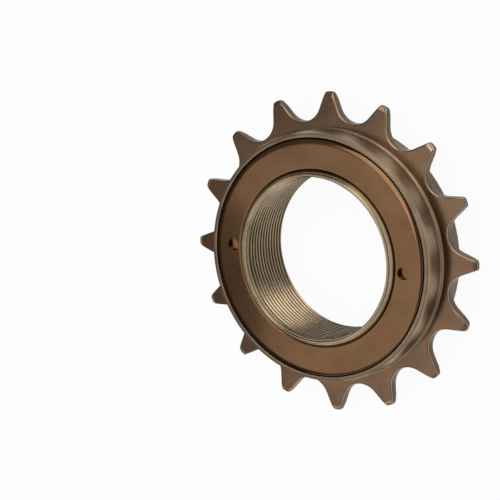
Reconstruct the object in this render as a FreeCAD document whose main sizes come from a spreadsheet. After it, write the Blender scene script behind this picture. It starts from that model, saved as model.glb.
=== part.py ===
import FreeCAD, Part

import math
import os
import re

import Sketcher
from FreeCAD import Placement, Rotation, Vector

# Single speed freewheel, 16 teeth, half inch pitch. It lies on the rear end of its threaded core.
# The origin is the centre of that rear face, +Z points to the lockring side. Sizes in millimetres.

SIZES = {
    # Threaded core, from the bore outwards
    "bore_radius": 17.1,
    "bore_chamfer": 0.5,
    "nose_wall": 1.5,
    "nose_bevel": 0.4,
    "nose_rise": 1.1,
    "band_step": 0.4375,
    # Two full rows of balls and the races that they run in
    "ball_radius": 1.5875,
    "ball_play": 0.05,
    "race_gap": 0.1,
    "race_side_gap": 0.15,
    "flange_thickness": 1.5625,
    "rear_gap": 0.3,
    # Shims and lockring
    "shim_thickness": 0.25,
    "shim_margin": 0.08,
    "lock_thread_gap": 0.05,
    "skirt_wall": 2.2125,
    "lock_overhang": 0.8125,
    "lock_thickness": 1.2625,
    "lock_bevel": 0.4,
    "pin_hole_radius": 1.25,
    "pin_hole_inset": 2.05,
    "pin_hole_depth": 1.0,
    "pin_hole_angle": 7.4,
    # Sprocket ring
    "ring_rear_height": 1.0,
    "ring_bevel": 0.4,
    "face_step": 0.5,
    "lock_gap": 0.35,
    "lock_seat_gap": 0.3,
    "collar_wall": 0.9,
    "collar_step": 0.5,
    "rear_collar_wall": 2.6625,
    # Chain teeth
    "chain_pitch": 12.7,
    "tooth_count": 16,
    "gullet_radius": 4.35,
    "tip_rise": 1.55,
    "tip_width": 1.75,
    "plate_rise": 1.3375,
    "plate_thickness": 2.2,
    "tip_bevel": 1.0,
    "tip_front_drop": 0.65,
    "tip_rear_drop": 1.0,
    # Ratchet
    "ratchet_count": 24,
    "ratchet_width": 3.925,
    "ratchet_gap": 0.3,
    "ratchet_depth": 1.6,
    "ratchet_ramp": 12,
    "ratchet_lead": 0.35,
    # Pawls and their leaf springs
    "heel_inset": 1.4,
    "heel_radius": 1.0,
    "heel_gap": 0.1,
    "pawl_length": 6.6,
    "tip_lift": 1.92,
    "tip_face": 1.52,
    "pawl_drop": 1.6,
    "pawl_end_gap": 0.8,
    "pocket_wall": 0.25,
    "pawl_side_gap": 0.2,
    "spring_thickness": 0.25,
    "spring_gap": 0.08,
    "spring_start": 2.2,
    "spring_tip": 3.4,
    "spring_side_gap": 0.35,
}

# Sizes that follow from the ones above
LINKED = {
    # Radii, from the bore outwards
    "nose_radius": "bore_radius + nose_wall",
    "lock_bore": "nose_radius + lock_thread_gap",
    "core_wall": "lock_bore + skirt_wall",
    "ball_circle": "core_wall + race_depth",
    "ring_wall": "ball_circle + race_depth",
    "flange_radius": "ring_wall - rear_gap",
    "lock_radius": "ring_wall + lock_overhang",
    "front_bore": "lock_radius + lock_gap",
    "collar_radius": "front_bore + collar_wall",
    "rear_collar_radius": "ring_wall + rear_collar_wall",
    "pin_hole_circle": "lock_bore + pin_hole_inset",
    "pawl_band_radius": "core_wall + band_step",
    "ratchet_radius": "pawl_band_radius + ratchet_gap",
    "ratchet_root": "ratchet_radius + ratchet_depth",
    "ratchet_clear": "ratchet_radius - 2 * ratchet_lead",
    # Heights, from the rear face to the front
    "race_reach": "sqrt(2) * (ball_radius + race_gap)",
    "race_depth": "ball_radius + race_side_gap",
    "rear_row_height": "flange_thickness + race_depth",
    "rear_shoulder": "rear_row_height + race_depth",
    "front_shoulder": "rear_shoulder + ratchet_width",
    "front_row_height": "front_shoulder + race_depth",
    "lock_underside": "front_row_height + race_depth",
    "lock_face_height": "lock_underside + lock_thickness",
    "core_height": "lock_face_height + nose_rise",
    "ring_face_height": "lock_face_height - face_step",
    "skirt_bottom": "front_shoulder + 2 * shim_thickness",
    "band_bottom": "rear_shoulder + race_side_gap",
    "plate_height": "rear_shoulder + plate_rise",
    "plate_top": "plate_height + plate_thickness / 2",
    "plate_bottom": "plate_height - plate_thickness / 2",
    # Chain teeth and ratchet teeth
    "pitch_radius": "chain_pitch / (2 * sin(180 / tooth_count))",
    "tip_radius": "pitch_radius + tip_rise",
    "corner_angle": "180 / tooth_count - 90 * tip_width / (3.141593 * tip_radius)",
    "outside": "tip_radius + chain_pitch / 4",
    "drive_face": "pawl_length + ratchet_lead",
    "root_angle": "asin(drive_face / ratchet_root)",
    "ramp_angle": "root_angle - ratchet_ramp * 1 deg",
    # Pawls, their pockets and springs
    "heel_circle": "pawl_band_radius - heel_inset",
    "pawl_floor": "heel_circle - pawl_drop",
    "socket_radius": "heel_radius + heel_gap",
    "pocket_end": "pawl_length + pawl_end_gap",
    "pocket_bottom": "band_bottom + pocket_wall",
    "pocket_height": "front_shoulder - pocket_wall - pocket_bottom",
    "pawl_height": "pocket_bottom + pawl_side_gap",
    "pawl_width": "pocket_height - 2 * pawl_side_gap",
    "beyond_band": "pawl_band_radius + heel_radius",
    "heel_under": "heel_radius * sqrt(0.5)",
    "pawl_slope": "(tip_lift - tip_face + heel_under) / (pawl_length - heel_under)",
    "leaf_tip": "heel_circle - heel_under + pawl_slope * (spring_tip - heel_under) - spring_gap",
    "leaf_end": "pocket_end - spring_gap * 2",
}

SHEET = "sizes"
NODES = []


def formula(text):
    """Write a rule in the words above as one that reads the sheet's cells."""

    def one_word(match):
        word = match.group()
        if word in LINKED:
            return "(" + formula(LINKED[word]) + ")"
        if word in SIZES:
            return SHEET + "." + word
        return word

    return re.sub(r"[a-z_]+", one_word, text)


def make_sheet(document):
    """Keep every driving dimension in one sheet, a name and a number on each row."""
    sheet = document.addObject("Spreadsheet::Sheet", SHEET)
    for row, (name, value) in enumerate(SIZES.items(), start=1):
        sheet.set(f"A{row}", name)
        sheet.set(f"B{row}", str(value))
        sheet.setAlias(f"B{row}", name)
    document.recompute()
    return sheet


doc = FreeCAD.newDocument("freewheel")
sizes = make_sheet(doc)


def number(text):
    """The present value of a rule, to draw a sketch near its solved shape."""
    return float(sizes.evalExpression(formula(text)))


def origin_item(body, role):
    """A plane or axis of the body's own origin."""
    return next(item for item in body.Origin.OriginFeatures if item.Role == role)


def new_body(label, angle=0):
    """A body on the common axis, turned about it for a second copy."""
    body = doc.addObject("PartDesign::Body", label)
    body.Label = label
    body.Placement = Placement(Vector(), Rotation(Vector(0, 0, 1), angle))
    NODES.append(body)
    return body


def new_sketch(body, label, role="XY_Plane", height=None):
    """A sketch on a plane of the body, raised by a rule where one is given."""
    sketch = body.newObject("Sketcher::SketchObject", label)
    sketch.AttachmentSupport = [(origin_item(body, role), "")]
    sketch.MapMode = "FlatFace"
    if height:
        sketch.setExpression(".AttachmentOffset.Base.z", formula(height))
    return sketch


def bind(sketch, constraint, rule):
    """Add one constraint and tie its value to the sheet."""
    index = sketch.addConstraint(constraint)
    sketch.setExpression(f"Constraints[{index}]", formula(rule))


def hold_x(sketch, edge, end, rule):
    """Hold an end of an edge at its distance along the sketch's first axis."""
    bind(sketch, Sketcher.Constraint("DistanceX", -1, 1, edge, end, number(rule)), rule)


def hold_y(sketch, edge, end, rule):
    """Hold an end of an edge at its distance along the sketch's second axis."""
    bind(sketch, Sketcher.Constraint("DistanceY", -1, 1, edge, end, number(rule)), rule)


def chain_of_lines(sketch, corners):
    """Lines from corner to corner, joined end to end. A corner is held by its two rules, or only
    by the one that its third word names, where it also ends an arc."""
    points = [Vector(number(across), number(up), 0) for across, up, *_ in corners]
    edges = []
    for start, end in zip(points, points[1:]):
        edges.append(sketch.addGeometry(Part.LineSegment(start, end), False))
    for before, after in zip(edges, edges[1:]):
        sketch.addConstraint(Sketcher.Constraint("Coincident", before, 2, after, 1))
    ends = [(edge, 1) for edge in edges] + [(edges[-1], 2)]
    for (edge, end), (across, up, *only) in zip(ends, corners):
        if only != ["up"]:
            hold_x(sketch, edge, end, across)
        if only != ["across"]:
            hold_y(sketch, edge, end, up)
    return edges


def closed_outline(sketch, corners):
    """A closed outline of straight lines through the given corners."""
    edges = chain_of_lines(sketch, corners)
    points = [sketch.getPoint(edges[-1], 2), sketch.getPoint(edges[0], 1)]
    last = sketch.addGeometry(Part.LineSegment(*points), False)
    sketch.addConstraint(Sketcher.Constraint("Coincident", edges[-1], 2, last, 1))
    sketch.addConstraint(Sketcher.Constraint("Coincident", last, 2, edges[0], 1))


def add_arc(sketch, centre, radius, start, end):
    """An arc with its centre and radius held, drawn between two angles in degrees."""
    middle = Vector(number(centre[0]), number(centre[1]), 0)
    circle = Part.Circle(middle, Vector(0, 0, 1), number(radius))
    arc = Part.ArcOfCircle(circle, math.radians(start), math.radians(end))
    edge = sketch.addGeometry(arc, False)
    hold_x(sketch, edge, 3, centre[0])
    hold_y(sketch, edge, 3, centre[1])
    bind(sketch, Sketcher.Constraint("Radius", edge, number(radius)), radius)
    return edge


def turned(body, corners):
    """Turn a section, given as distance from the axis and height, about the common axis."""
    sketch = new_sketch(body, body.Label + "_section", "XZ_Plane")
    closed_outline(sketch, corners)
    turn = body.newObject("PartDesign::Revolution", body.Label + "_turned")
    turn.Profile = sketch
    turn.ReferenceAxis = (sketch, ["V_Axis"])
    turn.Angle = 360
    sketch.Visibility = False
    doc.recompute()
    return turn


def pad_up(body, sketch, thickness):
    """Raise a closed outline by a rule."""
    pad = body.newObject("PartDesign::Pad", body.Label + "_blank")
    pad.Profile = sketch
    pad.setExpression("Length", formula(thickness))
    return pad


def cut(body, sketch, label, depth, upwards=True):
    """Cut an outline into the body along the axis and return the pocket."""
    pocket = body.newObject("PartDesign::Pocket", label)
    pocket.Profile = sketch
    pocket.Reversed = upwards
    pocket.setExpression("Length", formula(depth))
    doc.recompute()
    return pocket


def repeat(body, feature, label, count):
    """Repeat a feature evenly about the common axis."""
    pattern = body.newObject("PartDesign::PolarPattern", label)
    pattern.Originals = [feature]
    pattern.Axis = (origin_item(body, "Z_Axis"), [""])
    pattern.Angle = 360
    pattern.setExpression("Occurrences", formula(count))
    body.Tip = pattern
    doc.recompute()
    return pattern


def checked_cut(before, after):
    """Stop if a cut took nothing away."""
    if after.Shape.Volume >= before.Shape.Volume - 0.01:
        raise ValueError(after.Label + " cuts nothing")


# Threaded core: flange and rear cone, band with the pawl pockets, nose for the lockring
def make_inner_body():
    body = new_body("inner_body")
    blank = turned(body, [
        ("bore_radius", "bore_chamfer"),
        ("bore_radius + bore_chamfer", "0"),
        ("flange_radius", "0"),
        ("flange_radius", "flange_thickness"),
        ("ball_circle + rear_row_height - race_reach - flange_thickness", "flange_thickness"),
        ("core_wall", "ball_circle + rear_row_height - race_reach - core_wall"),
        ("core_wall", "band_bottom - band_step / 2"),
        ("pawl_band_radius", "band_bottom"),
        ("pawl_band_radius", "front_shoulder"),
        ("nose_radius", "front_shoulder"),
        ("nose_radius", "core_height - nose_bevel"),
        ("nose_radius - nose_bevel", "core_height"),
        ("bore_radius + bore_chamfer", "core_height"),
        ("bore_radius", "core_height - bore_chamfer"),
    ])
    sketch = new_sketch(body, "pawl_pocket_outline", height="pocket_bottom")
    socket = add_arc(sketch, ("0", "heel_circle"), "socket_radius", 240, 360)
    edges = chain_of_lines(sketch, [
        ("-socket_radius - spring_thickness", "pawl_floor"),
        ("-pocket_end", "pawl_floor"),
        ("-pocket_end", "beyond_band"),
        ("socket_radius", "beyond_band"),
        ("socket_radius", "heel_circle", "up"),
    ])
    sketch.addConstraint(Sketcher.Constraint("Coincident", edges[-1], 2, socket, 2))
    ramp = sketch.addGeometry(Part.LineSegment(
        sketch.getPoint(socket, 1), sketch.getPoint(edges[0], 1)), False)
    sketch.addConstraint(Sketcher.Constraint("Coincident", socket, 1, ramp, 1))
    sketch.addConstraint(Sketcher.Constraint("Coincident", ramp, 2, edges[0], 1))
    hold_x(sketch, socket, 1, "-socket_radius / 2")
    pocket = cut(body, sketch, "pawl_pocket", "pocket_height")
    checked_cut(blank, pocket)
    checked_cut(pocket, repeat(body, pocket, "pawl_pockets", "2"))


# Lockring: threaded cover with the front cone under it and two blind pin holes on top
def make_lockring():
    body = new_body("lockring")
    blank = turned(body, [
        ("lock_bore", "skirt_bottom"),
        ("core_wall", "skirt_bottom"),
        ("core_wall", "core_wall - ball_circle + front_row_height + race_reach"),
        ("lock_underside + ball_circle - front_row_height - race_reach", "lock_underside"),
        ("lock_radius", "lock_underside"),
        ("lock_radius", "lock_face_height - lock_bevel"),
        ("lock_radius - lock_bevel", "lock_face_height"),
        ("lock_bore", "lock_face_height"),
    ])
    sketch = new_sketch(body, "pin_hole_outline", height="lock_face_height - pin_hole_depth")
    across = "pin_hole_circle * cos(pin_hole_angle)"
    up = "pin_hole_circle * sin(pin_hole_angle)"
    middle = Vector(number(across), number(up), 0)
    hole = Part.Circle(middle, Vector(0, 0, 1), number("pin_hole_radius"))
    edge = sketch.addGeometry(hole, False)
    hold_x(sketch, edge, 3, across)
    hold_y(sketch, edge, 3, up)
    bind(sketch, Sketcher.Constraint("Radius", edge, number("pin_hole_radius")), "pin_hole_radius")
    pocket = cut(body, sketch, "pin_hole", "pin_hole_depth + lock_bevel")
    checked_cut(blank, pocket)
    checked_cut(pocket, repeat(body, pocket, "pin_holes", "2"))


# Two thin shims between the core's shoulder and the lockring's skirt
def make_shims():
    for level, label in enumerate(("shim_lower", "shim_upper")):
        bottom = f"front_shoulder + {level} * shim_thickness"
        top = f"front_shoulder + {level + 1} * shim_thickness"
        turned(new_body(label), [
            ("nose_radius + shim_margin", bottom),
            ("core_wall - shim_margin", bottom),
            ("core_wall - shim_margin", top),
            ("nose_radius + shim_margin", top),
        ])


# Sprocket ring: rear collar, tooth plate, front collar, two ball cups, ratchet between them
def make_sprocket_ring():
    body = new_body("sprocket_ring")
    blank = turned(body, [
        ("ring_wall", "ring_rear_height"),
        ("rear_collar_radius - ring_bevel", "ring_rear_height"),
        ("rear_collar_radius", "ring_rear_height + ring_bevel"),
        ("rear_collar_radius", "plate_bottom"),
        ("tip_radius - tip_bevel", "plate_bottom"),
        ("tip_radius", "plate_bottom + tip_rear_drop"),
        ("tip_radius", "plate_top - tip_front_drop"),
        ("tip_radius - tip_bevel", "plate_top"),
        ("collar_radius + collar_step", "plate_top"),
        ("collar_radius + collar_step", "plate_top + collar_step"),
        ("collar_radius", "plate_top + collar_step"),
        ("collar_radius", "ring_face_height - ring_bevel"),
        ("collar_radius - ring_bevel", "ring_face_height"),
        ("front_bore", "ring_face_height"),
        ("front_bore", "lock_underside - lock_seat_gap"),
        ("ring_wall", "lock_underside - lock_seat_gap"),
        ("ring_wall", "front_row_height - ball_circle - race_reach + ring_wall"),
        ("ball_circle + race_reach - front_row_height + front_shoulder", "front_shoulder"),
        ("ratchet_radius", "front_shoulder"),
        ("ratchet_radius", "rear_shoulder"),
        ("ball_circle + race_reach + rear_row_height - rear_shoulder", "rear_shoulder"),
        ("ring_wall", "rear_row_height + ball_circle + race_reach - ring_wall"),
    ])
    gullet = cut(body, gullet_outline(body), "gullet", "plate_thickness")
    checked_cut(blank, gullet)
    gullets = repeat(body, gullet, "gullets", "tooth_count")
    checked_cut(gullet, gullets)
    notch = cut(body, notch_outline(body), "ratchet_notch", "ratchet_width")
    checked_cut(gullets, notch)
    checked_cut(notch, repeat(body, notch, "ratchet_teeth", "ratchet_count"))


def gullet_outline(body):
    """The gap between two chain teeth: a roller seat with a straight flank to each tip corner."""
    sketch = new_sketch(body, "gullet_outline", height="plate_bottom")
    flank = math.degrees(math.acos(number("gullet_radius / (gullet_radius + tip_rise)")))
    seat = add_arc(sketch, ("pitch_radius", "0"), "gullet_radius", 180 - flank, 180 + flank)
    sides = chain_of_lines(sketch, [
        ("tip_radius * cos(corner_angle)", "tip_radius * sin(corner_angle)"),
        ("outside * cos(corner_angle)", "outside * sin(corner_angle)"),
        ("outside * cos(corner_angle)", "-outside * sin(corner_angle)"),
        ("tip_radius * cos(corner_angle)", "-tip_radius * sin(corner_angle)"),
    ])
    upper = sketch.addGeometry(Part.LineSegment(
        sketch.getPoint(seat, 1), sketch.getPoint(sides[0], 1)), False)
    lower = sketch.addGeometry(Part.LineSegment(
        sketch.getPoint(sides[-1], 2), sketch.getPoint(seat, 2)), False)
    sketch.addConstraint(Sketcher.Constraint("Coincident", upper, 2, sides[0], 1))
    sketch.addConstraint(Sketcher.Constraint("Coincident", sides[-1], 2, lower, 1))
    sketch.addConstraint(Sketcher.Constraint("Tangent", seat, 1, upper, 1))
    sketch.addConstraint(Sketcher.Constraint("Tangent", lower, 2, seat, 2))
    return sketch


def notch_outline(body):
    """The gap behind one ratchet tooth: a steep face that drives the pawl, then a long ramp."""
    sketch = new_sketch(body, "ratchet_notch_outline", height="rear_shoulder")
    closed_outline(sketch, [
        ("-drive_face", "sqrt(ratchet_clear ^ 2 - drive_face ^ 2)"),
        ("-drive_face", "sqrt(ratchet_root ^ 2 - drive_face ^ 2)"),
        ("-ratchet_radius * sin(ramp_angle)", "ratchet_radius * cos(ramp_angle)"),
        ("-ratchet_clear * sin(ramp_angle)", "ratchet_clear * cos(ramp_angle)"),
    ])
    return sketch


def faceted_ball(centre, radius, sides=8, bands=3):
    """A ball with flat faces whose corners all lie on the sphere."""
    rings = []
    for band in range(1, bands):
        rise = math.pi * band / bands
        ring = []
        for side in range(sides):
            turn = 2 * math.pi * side / sides
            out = radius * math.sin(rise)
            ring.append(centre + Vector(
                out * math.cos(turn), out * math.sin(turn), radius * math.cos(rise)))
        rings.append(ring)
    top = centre + Vector(0, 0, radius)
    bottom = centre - Vector(0, 0, radius)
    faces = []
    for side in range(sides):
        after = (side + 1) % sides
        faces.append([top, rings[0][side], rings[0][after]])
        faces.append([bottom, rings[-1][after], rings[-1][side]])
        for upper, lower in zip(rings, rings[1:]):
            faces.append([upper[side], lower[side], lower[after], upper[after]])
    shell = Part.makeShell([Part.Face(Part.makePolygon(face + face[:1])) for face in faces])
    solid = Part.makeSolid(shell)
    if solid.Volume < 0:
        solid.reverse()
    return solid


# Two full rows of loose balls, each row one node of separate solids with few faces
def make_ball_rows():
    radius = number("ball_radius")
    circle = number("ball_circle")
    count = int(math.pi / math.asin((radius + number("ball_play")) / circle))
    for label, height in (("front_balls", "front_row_height"), ("rear_balls", "rear_row_height")):
        row = doc.addObject("Part::Feature", label)
        row.Label = label
        balls = []
        for place in range(count):
            turn = 2 * math.pi * place / count
            middle = Vector(circle * math.cos(turn), circle * math.sin(turn), number(height))
            balls.append(faceted_ball(middle, radius))
        row.Shape = Part.makeCompound(balls)
        NODES.append(row)


# Two pawls with round heels. The tip stands in the ratchet and folds in towards the core.
def make_pawls():
    for label, angle in (("pawl_a", 0), ("pawl_b", 180)):
        body = new_body(label, angle)
        sketch = new_sketch(body, label + "_outline", height="pawl_height")
        heel = add_arc(sketch, ("0", "heel_circle"), "heel_radius", 225, 450)
        edges = chain_of_lines(sketch, [
            ("0", "heel_circle + heel_radius", "across"),
            ("-pawl_length", "heel_circle + tip_lift"),
            ("-pawl_length", "heel_circle + tip_lift - tip_face"),
            ("-heel_under", "heel_circle - heel_under", "across"),
        ])
        sketch.addConstraint(Sketcher.Constraint("Coincident", edges[-1], 2, heel, 1))
        sketch.addConstraint(Sketcher.Constraint("Coincident", heel, 2, edges[0], 1))
        pad_up(body, sketch, "pawl_width")


# Two thin leaf springs, each folded from one strip on a pocket floor up to its pawl
def make_springs():
    for label, angle in (("pawl_spring_a", 0), ("pawl_spring_b", 180)):
        body = new_body(label, angle)
        sketch = new_sketch(body, label + "_outline", height="pawl_height + spring_side_gap")
        closed_outline(sketch, [
            ("-spring_start", "pawl_floor"),
            ("-leaf_end", "pawl_floor"),
            ("-leaf_end", "pawl_floor + 2 * spring_thickness"),
            ("-spring_tip", "leaf_tip"),
            ("-spring_tip", "leaf_tip - spring_thickness"),
            ("-leaf_end + spring_thickness", "pawl_floor + 1.25 * spring_thickness"),
            ("-leaf_end + spring_thickness", "pawl_floor + spring_thickness"),
            ("-spring_start", "pawl_floor + spring_thickness"),
        ])
        pad_up(body, sketch, "pawl_width - 2 * spring_side_gap")


def write_parts():
    """Check every object and sub-part, then write one file for each sub-part."""
    doc.recompute()
    for item in doc.Objects:
        if "Invalid" in item.State or "Error" in item.State:
            raise ValueError(item.Label + " did not build")
    for node in NODES:
        if node.Shape.isNull() or not node.Shape.isValid():
            raise ValueError(node.Label + " has no valid shape")
    os.makedirs("parts", exist_ok=True)
    for node in NODES:
        node.Shape.exportStep(f"parts/{node.Label}.step")
        box = node.Shape.BoundBox
        print(node.Label, len(node.Shape.Solids), round(node.Shape.Volume, 2),
              [round(value, 2) for value in (box.XMin, box.YMin, box.ZMin, box.XMax, box.YMax, box.ZMax)])


make_inner_body()
make_lockring()
make_shims()
make_sprocket_ring()
make_ball_rows()
make_pawls()
make_springs()
write_parts()
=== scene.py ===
# %% [markdown]
# # Single speed freewheel
# A freewheel is the ring of chain teeth that screws onto a rear hub. It drives the hub one way and
# rolls free on loose balls the other way. Its steel is turned on a lathe and then browned in hot
# oil. This lesson dresses the engineering solids: they set each size, and Blender adds the true
# round forms, the thread, the worn edges and the finish of each surface.

# %% Load the fixed frame
import bmesh
import bpy
import math
from mathutils import Euler, Matrix, Vector


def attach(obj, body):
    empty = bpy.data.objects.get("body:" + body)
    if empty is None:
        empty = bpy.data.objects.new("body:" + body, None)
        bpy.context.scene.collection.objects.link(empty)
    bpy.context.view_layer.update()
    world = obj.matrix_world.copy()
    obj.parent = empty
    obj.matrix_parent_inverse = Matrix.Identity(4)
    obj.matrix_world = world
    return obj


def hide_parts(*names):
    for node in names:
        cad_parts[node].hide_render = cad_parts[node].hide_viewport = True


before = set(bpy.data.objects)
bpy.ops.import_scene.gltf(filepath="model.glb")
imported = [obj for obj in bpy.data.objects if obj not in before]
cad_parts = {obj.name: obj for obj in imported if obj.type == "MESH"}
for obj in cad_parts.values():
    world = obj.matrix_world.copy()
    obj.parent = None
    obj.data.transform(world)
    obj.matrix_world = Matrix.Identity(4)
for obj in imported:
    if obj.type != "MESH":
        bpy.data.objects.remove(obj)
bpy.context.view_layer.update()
MM = 0.001
print("pieces:", sorted(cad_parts))

# %% [markdown]
# ## Where the photograph was taken from
# The circles of the freewheel are ellipses in the photograph. Their centres, widths and tilt give
# the camera's place. The lens is long, about five times the frame's width, so the far teeth are
# hardly smaller than the near ones.

# %% Camera
CAMERA_PLACE = Vector((212.81, 132.83, 387.65)) * MM
CAMERA_TURN = (-12.336, 33.486, 8.994)
CAMERA_LENS = 156.19
SENSOR_WIDTH = 36

camera_data = bpy.data.cameras.new("camera")
camera_data.sensor_width = SENSOR_WIDTH
camera_data.lens = CAMERA_LENS
camera_data.clip_start = 0.01
camera = bpy.data.objects.new("camera", camera_data)
camera.location = CAMERA_PLACE
camera.rotation_euler = Euler([math.radians(angle) for angle in CAMERA_TURN], "XYZ")
bpy.context.scene.collection.objects.link(camera)
bpy.context.scene.camera = camera
print("camera stands", round(CAMERA_PLACE.length / MM), "mm from the freewheel")

# %% [markdown]
# ## Two helpers for materials
# Colours are picked as the sRGB hex values that a paint chart gives. Shaders work in linear light,
# so one function converts them. The other adds a node, sets it and links it in one call, which
# keeps each material a short list from pattern to shader.

# %% Colour and node helpers
def linear(code):
    """The linear colour of an sRGB hex code."""
    parts = [int(code[place:place + 2], 16) / 255 for place in (1, 3, 5)]
    return [part / 12.92 if part <= 0.04045 else ((part + 0.055) / 1.055) ** 2.4 for part in parts] + [1]


def add_node(tree, kind, links=None, **settings):
    """Add a node, set its options, and fill its sockets with values or links."""
    node = tree.nodes.new(kind)
    for name, value in settings.items():
        setattr(node, name, value)
    for socket, value in (links or {}).items():
        if isinstance(value, bpy.types.NodeSocket):
            tree.links.new(value, node.inputs[socket])
        else:
            node.inputs[socket].default_value = value
    return node


def new_material(name):
    """An empty material and its node tree."""
    material = bpy.data.materials.new(name)
    material.use_nodes = True
    material.node_tree.nodes.clear()
    return material, material.node_tree


print("browned steel", [round(part, 3) for part in linear("#735840")])

# %% [markdown]
# ## A white table and a white room
# The picture has a pure white ground, and metal shows whatever stands around it. So the floor and
# the room are white to the camera, to mirror-like rays and to rays through glass, and stay plain
# for the light that falls on the freewheel. A small share of the floor's own paper is kept in the
# mix, so the shadow under the part stays. The ceiling is dim in mirror-like rays: a flat face that
# looks up then shows the soft boxes against it, and turns dark where it shows the ceiling.

# %% Floor
FLOOR_HALF = 3.0
SHADOW_SHARE = 0.06


def flat_board(name, corners):
    """A flat four-cornered board that belongs to the studio, not to the part."""
    board_mesh = bpy.data.meshes.new(name)
    board_mesh.from_pydata(corners, [], [(0, 1, 2, 3)])
    board = bpy.data.objects.new(name, board_mesh)
    bpy.context.scene.collection.objects.link(board)
    return board


def seen_directly(tree):
    """1 for rays from the camera, from gloss and through glass, and 0 for the light on the part."""
    rays = add_node(tree, "ShaderNodeLightPath")
    seen = add_node(tree, "ShaderNodeMath", {0: rays.outputs["Is Camera Ray"],
                                             1: rays.outputs["Is Glossy Ray"]}, operation="MAXIMUM")
    return add_node(tree, "ShaderNodeMath", {0: seen.outputs[0], 1: rays.outputs["Is Transmission Ray"]},
                    operation="MAXIMUM").outputs[0]


floor = flat_board("floor", [(-FLOOR_HALF, -FLOOR_HALF, 0), (FLOOR_HALF, -FLOOR_HALF, 0),
                             (FLOOR_HALF, FLOOR_HALF, 0), (-FLOOR_HALF, FLOOR_HALF, 0)])
floor_paper, tree = new_material("white table paper")
bare = add_node(tree, "ShaderNodeBsdfDiffuse", {"Color": linear("#F2F2F2")})
glow = add_node(tree, "ShaderNodeEmission", {"Color": (1, 1, 1, 1), "Strength": 1.0})
washed = add_node(tree, "ShaderNodeMixShader", {0: SHADOW_SHARE, 1: glow.outputs[0], 2: bare.outputs[0]})
ground = add_node(tree, "ShaderNodeMixShader", {0: seen_directly(tree), 1: bare.outputs[0],
                                                2: washed.outputs[0]})
add_node(tree, "ShaderNodeOutputMaterial", {"Surface": ground.outputs[0]})
floor.data.materials.append(floor_paper)
print("floor reaches", FLOOR_HALF, "m each way")

# %% Walls and ceiling
SKY_LEVEL = 0.7
CEILING_LEVEL = 0.2
WALL_TOP = 0.45
WALL_FADE = 0.15

sky = bpy.data.worlds.new("white room")
sky.use_nodes = True
tree = sky.node_tree
tree.nodes.clear()
direction = add_node(tree, "ShaderNodeTexCoord").outputs["Generated"]
height = add_node(tree, "ShaderNodeSeparateXYZ", {0: direction}).outputs["Z"]
ceiling = add_node(tree, "ShaderNodeMapRange", {"Value": height, "From Min": WALL_TOP,
                                                "From Max": WALL_TOP + WALL_FADE,
                                                "To Min": 1.0, "To Max": CEILING_LEVEL})
rays = add_node(tree, "ShaderNodeLightPath")
open_view = add_node(tree, "ShaderNodeMath", {0: rays.outputs["Is Camera Ray"], 1: ceiling.outputs[0]},
                     operation="MAXIMUM")
plain = add_node(tree, "ShaderNodeBackground", {"Color": linear("#EDEBE8"), "Strength": SKY_LEVEL})
white = add_node(tree, "ShaderNodeBackground", {"Color": (1, 1, 1, 1), "Strength": open_view.outputs[0]})
shown = add_node(tree, "ShaderNodeMixShader", {0: seen_directly(tree), 1: plain.outputs[0],
                                               2: white.outputs[0]})
add_node(tree, "ShaderNodeOutputWorld", {"Surface": shown.outputs[0]})
bpy.context.scene.world = sky
print("sky level", SKY_LEVEL)

# %% [markdown]
# ## Soft boxes and a dark card
# Metal is a dim mirror, so it is lit by what it shows. A photographer hangs soft boxes over small
# metal parts and stands a dark card on one side. Here the left box ends where the lockring's left
# side begins to look past it, so the ring turns dark there. The top box lights the edges that lean
# back, and the right box the collar. The card is bent round the left side and gives the thread its
# dark turns. No camera sees the card, so it can't hide the part.

# %% Lamps
def soft_box(name, azimuth, reach, height, size, brightness, faced, lean=0):
    """A wide lamp at an azimuth, a distance from the axis and a height, which looks down or leans."""
    turn = math.radians(azimuth)
    lamp = bpy.data.lights.new(name, "AREA")
    lamp.shape = "RECTANGLE"
    lamp.size, lamp.size_y = size
    lamp.energy = brightness * math.pi * size[0] * size[1]
    lamp_object = bpy.data.objects.new(name, lamp)
    lamp_object.location = (reach * math.cos(turn), reach * math.sin(turn), height)
    lamp_object.rotation_euler = (math.radians(lean), 0, math.radians(faced) + math.pi / 2)
    bpy.context.scene.collection.objects.link(lamp_object)


soft_box("soft_box_left", 234, 0.444, 0.8, (0.61, 0.6), 0.84, 201)
soft_box("soft_box_top", 150, 0.24, 0.9, (0.4, 0.4), 1.8, 150)
soft_box("soft_box_right", 87, 0.62, 0.7, (0.6, 0.6), 2.1, 87, 42)

# %% Bent card
CARD_DISTANCE = 0.7
CARD_HEIGHT = 0.55
CARD_FOOT = 0.001
CARD_START = 95
CARD_PANEL = 15
CARD_PANELS = 10

card_turns = [math.radians(CARD_START + CARD_PANEL * step) for step in range(CARD_PANELS + 1)]
card_points = [(CARD_DISTANCE * math.cos(turn), CARD_DISTANCE * math.sin(turn), height)
               for height in (CARD_FOOT, CARD_HEIGHT) for turn in card_turns]
card_faces = [(step, step + 1, step + CARD_PANELS + 2, step + CARD_PANELS + 1) for step in range(CARD_PANELS)]
card_mesh = bpy.data.meshes.new("dark_card")
card_mesh.from_pydata(card_points, [], card_faces)
card = bpy.data.objects.new("dark_card", card_mesh)
bpy.context.scene.collection.objects.link(card)
card.visible_camera = False
card_felt, tree = new_material("dark felt card")
felt = add_node(tree, "ShaderNodeBsdfDiffuse", {"Color": linear("#57524E")})
add_node(tree, "ShaderNodeOutputMaterial", {"Surface": felt.outputs[0]})
card.data.materials.append(card_felt)
bpy.context.scene.view_settings.view_transform = "Standard"
print("card of", CARD_PANELS, "panels,", CARD_DISTANCE, "m away")

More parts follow.
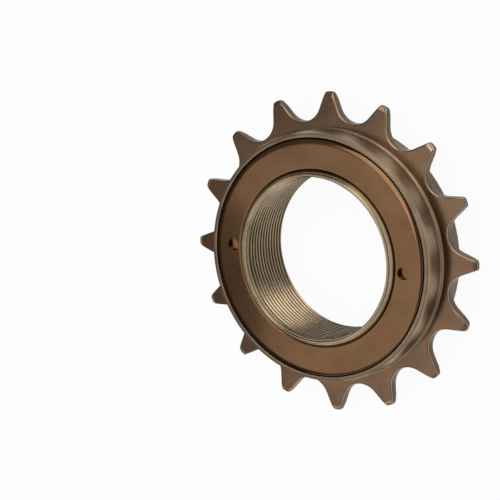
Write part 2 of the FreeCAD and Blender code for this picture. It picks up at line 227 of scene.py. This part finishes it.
# %% [markdown]
# ## Turned forms
# Almost every surface here was cut on a lathe. A lathe cut is one outline carried round the axis,
# so a piece is a grid of points: one row for each point of the outline, one column for each angle.
# Real edges are never sharp, so the outline's corners are rounded first. A grid lets a row move
# with the angle, which is how the chain teeth, the ratchet and the thread come from the same helper.

# %% Outline helpers
def curved_corner(start, corner, end, steps):
    """Points from start to end that bend round a corner."""
    shares = [step / steps for step in range(steps + 1)]
    return [start * (1 - share) ** 2 + corner * 2 * share * (1 - share) + end * share ** 2
            for share in shares]


def rounded(outline, steps=3):
    """Points of a closed outline of (radius, height, rounding) corners, with each corner rounded."""
    points = []
    for place, (across, up, size) in enumerate(outline):
        here = Vector((across, up))
        if size == 0:
            points.append(here)
            continue
        before = Vector(outline[place - 1][:2]) - here
        after = Vector(outline[(place + 1) % len(outline)][:2]) - here
        start = here + before.normalized() * min(size, before.length * 0.45)
        end = here + after.normalized() * min(size, after.length * 0.45)
        points += curved_corner(start, here, end, steps)
    return points


print("a rounded square has", len(rounded([(0, 0, 1), (4, 0, 1), (4, 4, 1), (0, 4, 1)])), "points")

# %% Grid helpers
TURN_STEPS = 256


def on_axis(radius, angle, height):
    """A point at a radius, an angle in radians and a height."""
    return radius * math.cos(angle), radius * math.sin(angle), height


def grid_faces(rows, columns, closed=True):
    """Faces between the rows and columns of a grid that closes round the axis."""
    faces = []
    for row in range(rows if closed else rows - 1):
        here = row * columns
        above = (row + 1) % rows * columns
        for column in range(columns):
            beside = (column + 1) % columns
            faces.append((here + column, here + beside, above + beside, above + column))
    return faces


def mesh_piece(name, body, slot, points, faces, sharp=35):
    """A named piece made of points in millimetres, smooth except across sharp edges."""
    mesh = bpy.data.meshes.new(name)
    mesh.from_pydata([Vector(point) * MM for point in points], [], faces)
    shape = bmesh.new()
    shape.from_mesh(mesh)
    bmesh.ops.remove_doubles(shape, verts=shape.verts, dist=1e-7)
    bmesh.ops.recalc_face_normals(shape, faces=shape.faces)
    shape.to_mesh(mesh)
    shape.free()
    mesh.shade_smooth()
    mesh.set_sharp_from_angle(angle=math.radians(sharp))
    piece = bpy.data.objects.new(name, mesh)
    bpy.context.scene.collection.objects.link(piece)
    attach(piece, body)
    print(name, len(mesh.polygons), "faces")
    return piece


def turned_rows(outline):
    """The points of an outline carried round the axis, and the number of rows."""
    curve = rounded(outline)
    turns = [2 * math.pi * step / TURN_STEPS for step in range(TURN_STEPS)]
    return [on_axis(across, turn, up) for across, up in curve for turn in turns], len(curve)


# %% [markdown]
# ## Lockring
# The brown cover ring is also the front bearing cone. It screws onto the core's nose with a
# left-hand thread, and a spanner with two pins turns it. The ring is one turned outline, whose face
# falls a little towards the rim, so its tone changes round the ring. A row of points near each
# corner keeps the shading of the face even. The two pin holes are blind drillings, taken out of the
# solid ring with a boolean cut.

# %% Lockring blank
LOCK_FACE = 13.7
LOCK_FALL = 0.05


def face_height(radius):
    """The height of the lockring's face, which falls a little towards its rim."""
    return LOCK_FACE - LOCK_FALL * (radius - 18.85)


LOCK_OUTLINE = [
    (18.65, 9.46, 0), (20.86, 9.46, 0), (20.86, 11.35, 0), (21.95, 12.44, 0), (25.05, 12.44, 0.1),
    (25.05, LOCK_FACE - 0.44, 0.15), (24.3, face_height(24.3), 0.3), (23.8, face_height(23.8), 0),
    (19.3, face_height(19.3), 0), (18.85, face_height(18.85), 0.15), (18.65, LOCK_FACE - 0.2, 0),
]

lock_points, lock_rows = turned_rows(LOCK_OUTLINE)
lock_faces = grid_faces(lock_rows, TURN_STEPS)
lockring = mesh_piece("lockring_turned", "core", "browned_lockring", lock_points, lock_faces)
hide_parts("lockring")

# %% Pin holes
PIN_HOLE_RADIUS = 1.25
PIN_HOLE_CIRCLE = 20.7
PIN_HOLE_DEPTH = 1.0
PIN_HOLE_ANGLE = 7.4
PIN_HOLE_FLARE = 0.12
DRILL_LENGTH = PIN_HOLE_DEPTH * 1.4


def drill_at(angle):
    """A drill that stands in the lockring's face, a little wider at the mouth."""
    drill = bmesh.new()
    bmesh.ops.create_cone(drill, cap_ends=True, segments=48, radius1=PIN_HOLE_RADIUS * MM,
                          radius2=(PIN_HOLE_RADIUS + PIN_HOLE_FLARE) * MM, depth=DRILL_LENGTH * MM)
    drill_mesh = bpy.data.meshes.new("drill")
    drill.to_mesh(drill_mesh)
    drill_object = bpy.data.objects.new("drill", drill_mesh)
    middle = LOCK_FACE - PIN_HOLE_DEPTH + DRILL_LENGTH / 2
    drill_object.location = Vector(on_axis(PIN_HOLE_CIRCLE, angle, middle)) * MM
    bpy.context.scene.collection.objects.link(drill_object)
    return drill_object


def cut_away(piece, cutter):
    """Take one shape out of a piece for good."""
    modifier = piece.modifiers.new("cut", "BOOLEAN")
    modifier.object = cutter
    modifier.solver = "EXACT"
    shapes = bpy.context.evaluated_depsgraph_get()
    cut_mesh = bpy.data.meshes.new_from_object(piece.evaluated_get(shapes))
    piece.modifiers.clear()
    piece.data = cut_mesh
    cut_mesh.set_sharp_from_angle(angle=math.radians(30))
    bpy.data.objects.remove(cutter)


for side in (0, 180):
    cut_away(lockring, drill_at(math.radians(PIN_HOLE_ANGLE + side)))
print("lockring with pin holes", len(lockring.data.polygons), "faces")

# %% [markdown]
# ## Threaded core
# The core carries everything. Inside runs a fine right-hand thread, 24 turns to the inch, that
# screws onto the hub. A thread is a ridge along a helix, so the rows of the grid climb one pitch in
# each turn and the crest stays on one row. A plain mouth and a chamfer come before the first turn,
# as on the real core, so that the hub starts straight. The thread fades into that mouth.

# %% Thread profile
THREAD_PITCH = 25.4 / 24
THREAD_CREST = 17.1
THREAD_DEPTH = 0.56
THREAD_ROWS = 12
CREST_FLAT = 0.12
ROOT_FLAT = 0.06
CORE_TOP = 14.8
BORE_MOUTH = 17.5
PLAIN_MOUTH = 1.1
PLAIN_RADIUS = THREAD_CREST + 0.35 * THREAD_DEPTH


def thread_wall(share):
    """The bore wall's radius at a share of one turn of the thread, from crest over root to crest."""
    from_crest = abs(share - round(share))
    rise = (from_crest - CREST_FLAT) / (0.5 - CREST_FLAT - ROOT_FLAT)
    return THREAD_CREST + THREAD_DEPTH * min(1, max(0, rise))


def bore_radius(share, height):
    """The bore wall: the thread, cut off towards the plain mouth and by the chamfers."""
    depth_from_mouth = CORE_TOP - PLAIN_MOUTH - height
    cut_in = min(1, max(0, depth_from_mouth / THREAD_PITCH + 0.5))
    wall = PLAIN_RADIUS + (thread_wall(share) - PLAIN_RADIUS) * cut_in
    chamfer = BORE_MOUTH - min(height, CORE_TOP - height)
    return max(wall, chamfer)


print("thread of", round(THREAD_PITCH, 3), "mm from", THREAD_CREST, "to", THREAD_CREST + THREAD_DEPTH, "mm")

# %% Bore rows
def bore_grid():
    """Rows that climb with the thread, flattened where they reach either end."""
    levels = math.ceil((CORE_TOP / THREAD_PITCH + 1) * THREAD_ROWS) + 1
    points = []
    for level in range(levels):
        for step in range(TURN_STEPS):
            climb = (level / THREAD_ROWS + step / TURN_STEPS - 1) * THREAD_PITCH
            height = min(max(climb, 0), CORE_TOP)
            radius = bore_radius(level / THREAD_ROWS, height)
            points.append(on_axis(radius, 2 * math.pi * step / TURN_STEPS, height))
    faces = []
    for level in range(levels - 1):
        for step in range(TURN_STEPS):
            jump = THREAD_ROWS if step == TURN_STEPS - 1 else 0
            if level + jump + 1 >= levels:
                continue
            here = level * TURN_STEPS + step
            beside = (level + jump) * TURN_STEPS + (step + 1) % TURN_STEPS
            face = (here, here + TURN_STEPS, beside + TURN_STEPS, beside)
            heights = [points[corner][2] for corner in face]
            if max(heights) - min(heights) > 1e-9:
                faces.append(face)
    return points, faces


bore_points, bore_faces = bore_grid()
print("bore", len(bore_faces), "faces")

# %% Core with its thread
CORE_OUTSIDE = [
    (BORE_MOUTH, 0, 0), (24.03, 0, 0.2), (24.03, 1.56, 0.1), (21.95, 1.56, 0), (20.86, 2.65, 0),
    (20.86, 4.9, 0), (21.3, 5.2, 0), (21.3, 8.96, 0), (18.6, 8.96, 0), (18.6, CORE_TOP - 0.95, 0.3),
    (18.05, CORE_TOP, 0.35), (BORE_MOUTH, CORE_TOP, 0),
]

outside_points, outside_rows = turned_rows(CORE_OUTSIDE)
first = len(bore_points)
outside_faces = [tuple(corner + first for corner in face)
                 for face in grid_faces(outside_rows, TURN_STEPS, False)]
core = mesh_piece("core_with_thread", "core", "threaded_core", bore_points + outside_points,
                  bore_faces + outside_faces, 40)
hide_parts("inner_body")

# %% [markdown]
# ## Sprocket ring
# One forging carries the chain teeth outside, the ratchet teeth inside and a ball cup on each end.
# The chain teeth are milled: each gap is a round seat for a roller with a straight flank on each
# side, so the rim's radius is a plain function of the angle. The grid's columns stand at every
# angle where the teeth or the ratchet turn a corner. Small rounded edges catch the light.

# %% Shape of one tooth gap
TOOTH_COUNT = 16
PITCH_RADIUS = 12.7 / (2 * math.sin(math.pi / TOOTH_COUNT))
SEAT_RADIUS = 4.35
TIP_RADIUS = PITCH_RADIUS + 1.55
TIP_WIDTH = 1.75
TIP_ROUNDING = 0.5
SEAT_STEPS = 10


def gap_outline():
    """Half of one tooth gap, from its bottom to the middle of the tooth, as (angle, radius)."""
    half_tooth = math.pi / TOOTH_COUNT
    side = half_tooth - TIP_WIDTH / (2 * TIP_RADIUS)
    corner = TIP_RADIUS * Vector((math.cos(side), math.sin(side)))
    crown = TIP_RADIUS * Vector((math.cos(half_tooth), math.sin(half_tooth)))
    roller = Vector((PITCH_RADIUS, 0))
    offset = corner - roller
    lean = math.atan2(offset.y, offset.x) + math.acos(SEAT_RADIUS / offset.length)
    turns = [math.pi - (math.pi - lean) * step / SEAT_STEPS for step in range(SEAT_STEPS + 1)]
    points = [roller + SEAT_RADIUS * Vector((math.cos(turn), math.sin(turn))) for turn in turns]
    foot = points[-1]
    start = corner + (foot - corner).normalized() * TIP_ROUNDING
    end = corner + (crown - corner).normalized() * TIP_ROUNDING
    points += [foot.lerp(start, share) for share in (0.33, 0.67)]
    points += curved_corner(start, corner, end, 4) + [crown]
    return [(math.atan2(point.y, point.x), point.length) for point in points]


HALF_GAP = gap_outline()


def rim_radius(angle):
    """The toothed rim's radius at an angle."""
    period = 2 * math.pi / TOOTH_COUNT
    turn = abs((angle + period / 2) % period - period / 2)
    for (low, inner), (high, outer) in zip(HALF_GAP, HALF_GAP[1:]):
        if turn <= high + 1e-9:
            share = max(0, (turn - low) / max(high - low, 1e-9))
            return inner + (outer - inner) * share
    return HALF_GAP[-1][1]


print("rim from", round(rim_radius(0), 2), "to", round(rim_radius(math.pi / TOOTH_COUNT), 2), "mm")

# %% Shape of one ratchet tooth
RATCHET_COUNT = 24
RATCHET_TIP = 21.6
RATCHET_ROOT = 23.2
DRIVE_FACE = 6.95
RATCHET_RAMP = 12

# The first pawl stands on the y axis, so the angles are measured from there
STEEP_TIP = math.pi / 2 + math.asin(DRIVE_FACE / RATCHET_TIP)
STEEP_ROOT = math.pi / 2 + math.asin(DRIVE_FACE / RATCHET_ROOT)
RAMP_START = STEEP_ROOT - math.radians(RATCHET_RAMP)


def ratchet_radius(angle):
    """The inside radius at an angle: a long ramp up to a steep face, then a short land."""
    turn = (angle - RAMP_START) % (2 * math.pi / RATCHET_COUNT)
    ramp = STEEP_ROOT - RAMP_START
    steep = STEEP_TIP - RAMP_START
    if turn <= ramp:
        return RATCHET_TIP + (RATCHET_ROOT - RATCHET_TIP) * turn / ramp
    if turn <= steep:
        return RATCHET_ROOT + (RATCHET_TIP - RATCHET_ROOT) * (turn - ramp) / (steep - ramp)
    return RATCHET_TIP


def column_angles():
    """Every angle where the rim or the ratchet needs a point."""
    full = 2 * math.pi
    rim = [full * tooth / TOOTH_COUNT + side * turn
           for tooth in range(TOOTH_COUNT) for turn, _ in HALF_GAP for side in (1, -1)]
    ratchet = [full * notch / RATCHET_COUNT + turn
               for notch in range(RATCHET_COUNT) for turn in (STEEP_TIP, STEEP_ROOT, RAMP_START)]
    return sorted({round(angle % full, 6) for angle in rim + ratchet})


print("columns:", len(column_angles()))

# %% Tooth plate
PLATE_TOP = 7.47
PLATE_BOTTOM = 5.28
TIP_BEVEL = 0.9
FRONT_DROP = 0.5
REAR_DROP = 0.9
EDGE = 0.3
PLATE_FALL = 0.055
LEVEL_RADIUS = PITCH_RADIUS - 3
FACE_SHARES = (0.35, 0.7, 1)
EDGE_STEPS = 4


def plate_height(radius, front):
    """The plate's face: bevelled towards the tips on both sides, and dished a little in front."""
    lean = max(0, (radius - TIP_RADIUS + TIP_BEVEL) / TIP_BEVEL)
    fall = PLATE_FALL * (radius - LEVEL_RADIUS)
    return PLATE_TOP - fall - lean * FRONT_DROP if front else PLATE_BOTTOM + lean * REAR_DROP


def rim_direction(angle):
    """How much of the rim's outward direction points away from the axis, and how much sideways."""
    step = 1e-4
    slope = (rim_radius(angle + step) - rim_radius(angle - step)) / (2 * step) / rim_radius(angle)
    return math.cos(math.atan(slope)), math.sin(math.atan(slope))


def plate_column(angle, front_foot, rear_foot):
    """Points over the tooth plate at one angle, from the front collar over the rim to the rear one."""
    rim = rim_radius(angle)
    inward, sideways = rim_direction(angle)
    inset = rim - EDGE * inward
    turned = angle + EDGE * sideways / rim
    bevel = min(TIP_RADIUS - TIP_BEVEL, inset - 0.05)

    def face_row(foot, front):
        radii = [foot + (bevel - foot) * share for share in FACE_SHARES]
        return [(radius, angle + (turned - angle) * (radius - foot) / (inset - foot),
                 plate_height(radius, front)) for radius in radii]

    def edge_row(front):
        sign = -1 if front else 1
        rows = []
        for part in range(EDGE_STEPS + 1):
            bend = math.pi / 2 * part / EDGE_STEPS
            out = EDGE * math.sin(bend)
            height = plate_height(inset, front) + sign * EDGE * (1 - math.cos(bend))
            rows.append((inset + out * inward, turned - out * sideways / rim, height))
        return rows

    front = face_row(front_foot, True) + edge_row(True)
    rear = face_row(rear_foot, False) + edge_row(False)
    return front + rear[::-1]


print("plate", round(PLATE_TOP - PLATE_BOTTOM, 2), "mm thick")

# %% Sprocket ring
FRONT_COLLAR = [
    (26.9, plate_height(26.9, True), 0), (26.9, PLATE_TOP + 0.5, 0.2), (26.4, PLATE_TOP + 0.75, 0.15),
    (26.4, 13.2, 1.2), (25.3, 13.2, 0.1), (25.3, 12.14, 0), (24.34, 12.14, 0), (24.34, 10.05, 0),
    (23.25, 8.96, 0),
]
REAR_COLLAR = [
    (23.25, 5.04, 0), (24.34, 3.95, 0), (24.34, 1.0, 0.1), (27.0, 1.0, 0.4), (27.0, PLATE_BOTTOM, 0),
]
RATCHET_TOP = 8.96
RATCHET_FOOT = 5.04


def sprocket_grid():
    """The whole ring as one closed grid, with its columns from the tooth and ratchet rules."""
    angles = column_angles()
    front = rounded(FRONT_COLLAR + [(RATCHET_TIP, RATCHET_TOP, 0)])[:-1]
    rear = rounded([(RATCHET_TIP, RATCHET_FOOT, 0)] + REAR_COLLAR)[1:]
    columns = []
    for angle in angles:
        column = [(radius, angle, height) for radius, height in front]
        column += [(ratchet_radius(angle), angle, height) for height in (RATCHET_TOP, RATCHET_FOOT)]
        column += [(radius, angle, height) for radius, height in rear]
        column += plate_column(angle, front[0].x, rear[-1].x)[::-1]
        columns.append(column)
    rows = len(columns[0])
    points = [on_axis(*column[row]) for row in range(rows) for column in columns]
    return points, grid_faces(rows, len(angles))


sprocket = mesh_piece("sprocket_ring_toothed", "ring", "browned_ring", *sprocket_grid(), 28)
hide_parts("sprocket_ring")

# %% [markdown]
# ## Balls, pawls, springs and shims
# Two full rows of loose balls carry the ring. The solids give them few faces, so smooth balls
# stand in for them here. The pawls, springs and shims already have their real shape. The pawls and
# springs only need the small edge rounding that deburring leaves, which a bevel modifier gives.

# %% Balls
BALL_RADIUS = 1.5875
BALL_CIRCLE = 22.6
BALL_COUNT = 43
FRONT_ROW_HEIGHT = 10.7
REAR_ROW_HEIGHT = 3.3


def ball_row(name, body, height, node):
    """A full row of smooth balls round the axis."""
    shape = bmesh.new()
    for place in range(BALL_COUNT):
        middle = Vector(on_axis(BALL_CIRCLE, 2 * math.pi * place / BALL_COUNT, height)) * MM
        bmesh.ops.create_icosphere(shape, subdivisions=3, radius=BALL_RADIUS * MM,
                                   matrix=Matrix.Translation(middle))
    mesh = bpy.data.meshes.new(name)
    shape.to_mesh(mesh)
    mesh.shade_smooth()
    piece = bpy.data.objects.new(name, mesh)
    bpy.context.scene.collection.objects.link(piece)
    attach(piece, body)
    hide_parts(node)
    print(name, len(mesh.polygons), "faces")
    return piece


front_row = ball_row("front_row_balls", "front_row", FRONT_ROW_HEIGHT, "front_balls")
rear_row = ball_row("rear_row_balls", "rear_row", REAR_ROW_HEIGHT, "rear_balls")

# %% Pawls and springs
pawls = [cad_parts[node] for node in ("pawl_a", "pawl_b")]
springs = [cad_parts[node] for node in ("pawl_spring_a", "pawl_spring_b")]
shims = [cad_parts[node] for node in ("shim_lower", "shim_upper")]


def deburr(pieces, width):
    """Round the sharp edges of the engineering solids a little."""
    for piece in pieces:
        bevel = piece.modifiers.new("deburred edges", "BEVEL")
        bevel.width = width * MM
        bevel.segments = 2
        bevel.limit_method = "ANGLE"


deburr(pawls, 0.12)
deburr(springs, 0.05)
print("deburred", len(pawls) + len(springs), "small pieces")

# %% [markdown]
# ## Marks that a lathe and the heat leave
# Every steel here shows the same three marks. The lathe tool leaves fine circles, which stretch each
# highlight round the axis. Heat and oil leave cloudy patches some millimetres wide. Scale and wear
# leave fine grit. All three are noise patterns whose scale is set from their real width, and each
# finish below mixes them in its own way. The circles are drawn about twice as coarse as real ones,
# which are too fine for the picture.

# %% Lathe circles, clouds and grit
TOOL_FEED = 0.2
CLOUD_WIDTH = 7.0
GRIT_WIDTH = 0.3


def steel_marks(tree):
    """The circles, clouds and grit of turned steel, each from 0 to 1."""
    place = add_node(tree, "ShaderNodeTexCoord").outputs["Object"]
    flat = add_node(tree, "ShaderNodeVectorMath", {0: place, 1: (1, 1, 0)}, operation="MULTIPLY")
    radius = add_node(tree, "ShaderNodeVectorMath", {0: flat.outputs[0]}, operation="LENGTH")
    circles = add_node(tree, "ShaderNodeTexNoise", {"W": radius.outputs["Value"], "Detail": 2.0,
                                                    "Scale": 1 / (TOOL_FEED * MM)}, noise_dimensions="1D")
    clouds = add_node(tree, "ShaderNodeTexNoise", {"Vector": place, "Scale": 1 / (CLOUD_WIDTH * MM),
                                                   "Detail": 4.0, "Roughness": 0.6})
    grit = add_node(tree, "ShaderNodeTexNoise", {"Vector": place, "Scale": 1 / (GRIT_WIDTH * MM),
                                                 "Detail": 3.0, "Roughness": 0.7})
    even = [add_node(tree, "ShaderNodeMapRange", {"Value": marks.outputs["Fac"], "From Min": 0.3,
                                                  "From Max": 0.7}) for marks in (circles, clouds, grit)]
    return [marks.outputs[0] for marks in even]


def uneven_surface(tree, circles, grit, circle_depth, grit_depth):
    """The normal of a surface with lathe circles and grit of these depths in millimetres."""
    rings = add_node(tree, "ShaderNodeBump", {"Height": circles, "Strength": 1.0,
                                              "Distance": circle_depth * MM})
    return add_node(tree, "ShaderNodeBump", {"Height": grit, "Strength": 1.0, "Distance": grit_depth * MM,
                                             "Normal": rings.outputs[0]}).outputs[0]


def blend(tree, amount, low, high):
    """A colour between two sRGB hex codes."""
    return add_node(tree, "ShaderNodeMix", {"Factor": amount, "A": linear(low), "B": linear(high)},
                    data_type="RGBA").outputs["Result"]


def between(tree, amount, low, high):
    """A number between two values."""
    return add_node(tree, "ShaderNodeMapRange", {"Value": amount, "To Min": low, "To Max": high}).outputs[0]


print("circles", TOOL_FEED, "mm, clouds", CLOUD_WIDTH, "mm, grit", GRIT_WIDTH, "mm wide")

# %% [markdown]
# ## Oil-browned turned steel
# The ring and lockring are carbon steel, turned, then heated and quenched in oil. That leaves a thin
# brown oxide: it still shines like metal, but darker and warmer, with cloudy patches where the heat
# or the oil was uneven. The lockring was turned finer, so it shines more than the forged teeth.

# %% Browned lockring and browned teeth
SMOOTHEST = -0.04
ROUGHEST = 0.06
GRIT_SHARE = 0.3


def steel_finish(name, dark, light, roughness, circle_depth, grit_depth):
    """Steel between two colours, with clouds, and circles and grit of these depths in millimetres."""
    material, tree = new_material(name)
    circles, clouds, grit = steel_marks(tree)
    patchy = add_node(tree, "ShaderNodeMath", {0: grit, 1: GRIT_SHARE, 2: clouds},
                      operation="MULTIPLY_ADD", use_clamp=True)
    add_node(tree, "ShaderNodeOutputMaterial", {"Surface": add_node(tree, "ShaderNodeBsdfPrincipled", {
        "Base Color": blend(tree, patchy.outputs[0], dark, light),
        "Metallic": 1.0,
        "Roughness": between(tree, grit, roughness + SMOOTHEST, roughness + ROUGHEST),
        "Normal": uneven_surface(tree, circles, grit, circle_depth, grit_depth),
    }).outputs[0]})
    return material


# Fine turned and browned: a smooth, reddish brown mirror that shows the soft boxes with clear ends
lockring_finish = steel_finish("oil browned steel, fine turned", "#6E5039", "#7C5E44", 0.11, 0.0004, 0)
# Forged, milled and browned: the same brown, greyer, with a wider and softer shine
tooth_finish = steel_finish("oil browned steel, forged", "#6C5341", "#7E644E", 0.18, 0.001, 0.002)
lockring.data.materials.clear()
lockring.data.materials.append(lockring_finish)
sprocket.data.materials.append(tooth_finish)
print("browned:", lockring_finish.name, "and", tooth_finish.name)

# %% [markdown]
# ## Bright steels
# The core is cut after browning, so its thread and nose are bare steel under a thin yellowish oil
# film. The balls are hard chrome steel, ground and polished. The springs and shims are blued strip.
# They are all steel, so the same recipe makes them, with other colours and depths.

# %% Bare, polished and blued steel
# Turned and oiled: straw coloured, and bright wherever a thread's flank meets the light
core_finish = steel_finish("bare turned steel under an oil film", "#88765F", "#B29D7E", 0.22, 0.0004, 0.001)
# Ground and polished: nearly white with small sharp highlights
ball_finish = steel_finish("polished chrome steel", "#C8C8CA", "#D8D8DA", 0.12, 0, 0.0005)
# Rolled and blued: a cool grey with a dull shine
strip_finish = steel_finish("blued spring strip", "#5C6068", "#7C8088", 0.3, 0, 0.002)
core.data.materials.append(core_finish)
for piece in (front_row, rear_row):
    piece.data.materials.append(ball_finish)
for piece in pawls:
    piece.data.materials.clear()
    piece.data.materials.append(ball_finish)
for piece in springs + shims:
    piece.data.materials.clear()
    piece.data.materials.append(strip_finish)
print("materials:", len(bpy.data.materials))

# %% [markdown]
# ## Worn places and painted light
# The collar is turned coarser than the teeth and rubbed paler by hands and cloths. The flanks that
# the cutter left are dull, and are painted darker as shade, as is the rear collar under the teeth.
# The tooth edges are worn bright and are also painted lighter as a highlight. The thread's roots,
# its down-facing flanks and the gap round the lockring are painted dark as shade. All of these
# follow the form, so the faces there get their own finish by radius, height and lean.

# %% Finish by place
def finish_faces(piece, material, wanted):
    """Give another material to the faces whose middle radius, height and upward lean are wanted."""
    piece.data.materials.append(material)
    place = len(piece.data.materials) - 1
    chosen = 0
    for face in piece.data.polygons:
        middle = face.center / MM
        if wanted(math.hypot(middle.x, middle.y), middle.z, face.normal.z):
            face.material_index = place
            chosen += 1
    print(material.name, "on", chosen, "faces of", piece.name)


# %% Collar, shaded flanks and highlighted edges
COLLAR_RADIUS = 27.0
COLLAR_FOOT = 7.5
FLANK_RADIUS = 28
REAR_TOP = 5.2
FLAT_LEAN = 0.93
STEEP_LEAN = 0.35

# Turned with a coarse feed: a pale brown with a wide, satin shine
collar_finish = steel_finish("browned steel, turned collar", "#806C57", "#A38D74", 0.44, 0.001, 0.006)
# Milled flanks and the rear collar: dull, and painted darker as shade on these walls
flank_and_rear_shade = steel_finish("browned steel, milled flanks", "#4E402F", "#665743", 0.35, 0, 0.006)
# Rubbed by the chain, and painted lighter as a highlight: a thin bright line on the tooth edges
worn_and_highlit_edge = steel_finish("worn edge of browned steel with painted highlight", "#8E7A68", "#B4A08C", 0.3, 0, 0.004)
finish_faces(sprocket, collar_finish, lambda radius, height, up: (
    radius < COLLAR_RADIUS and height > COLLAR_FOOT))
# Painted shade: the tooth flanks and the rear collar under the teeth are darker
finish_faces(sprocket, flank_and_rear_shade, lambda radius, height, up: (
    radius > FLANK_RADIUS and abs(up) < FLAT_LEAN) or height < REAR_TOP)
# Painted highlight: the rounded front edges of the teeth are lighter
finish_faces(sprocket, worn_and_highlit_edge, lambda radius, height, up: (
    radius > FLANK_RADIUS and STEEP_LEAN < up < FLAT_LEAN))

# %% Painted shade in the thread and in the gap
ROOT_START = THREAD_CREST + 0.5 * THREAD_DEPTH
THREAD_END = CORE_TOP - 0.9

# Painted shade over steel: dark brown in the thread's roots, nearly black in the gap, and dull
thread_root_shade = steel_finish("thread roots and under-flanks in painted shade", "#2C241C", "#463A2E", 0.4, 0, 0.004)
lockring_gap_shade = steel_finish("steel in the painted shade of the lockring gap", "#14100C", "#241C14", 0.5, 0, 0.02)
# Painted shade: the thread's roots and its down-facing flanks are dark
finish_faces(core, thread_root_shade, lambda radius, height, up: THREAD_CREST + 0.02 < radius < 18 and (
    radius > ROOT_START or up < -0.3) and 0.3 < height < THREAD_END)
# Painted shade: the gap round the lockring is nearly black on the ring and on the lockring
finish_faces(sprocket, lockring_gap_shade, lambda radius, height, up: radius < 25.4 and 11 < height < 13.0)
finish_faces(lockring, lockring_gap_shade, lambda radius, height, up: radius > 24.9 and height < 12.9)
